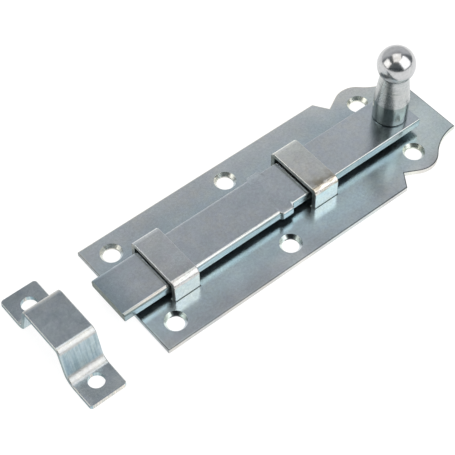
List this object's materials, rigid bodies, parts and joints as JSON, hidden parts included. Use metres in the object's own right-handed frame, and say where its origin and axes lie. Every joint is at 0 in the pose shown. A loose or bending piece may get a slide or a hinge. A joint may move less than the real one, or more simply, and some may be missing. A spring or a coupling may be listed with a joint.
{
  "type": "flat door bolt",
  "caption": "Flat door bolt: a round-edged bar slides through bent straps on an eared, countersunk backplate by a ball knob, with a separate bent keeper.",
  "frame": {"origin": "on the backplate's back face, at the middle of the plate's length and width, where it lies on the door", "axes": "+X along the bar from its tip towards the knob, +Y across the plate, +Z out from the door; the bar is thrown along -X"},
  "size_m": [0.1758, 0.053, 0.0419],
  "materials": {
    "backplate": "bright zinc-plated sheet steel, satin",
    "front_strap": "bright zinc-plated sheet steel, satin",
    "rear_strap": "bright zinc-plated sheet steel, satin, slightly dulled at the bends",
    "bolt_bar": "bright zinc-plated flat steel, satin face with shiny rounded edges",
    "knob": "bright zinc-plated turned steel, polished ball and finely turned stem",
    "keeper": "bright zinc-plated sheet steel, satin with fine drag marks on the legs"
  },
  "bodies": {
    "base": {"backplate": "backplate", "front_strap": "front_strap", "rear_strap": "rear_strap", "keeper": "keeper"},
    "bolt": {"bolt_bar": "bolt_bar", "knob": "knob"}
  },
  "joints": [
    {"name": "bolt_slide", "type": "slide", "parent": "base", "child": "bolt", "axis": [1, 0, 0], "range_m": [-0.0297, 0.0081]}
  ]
}
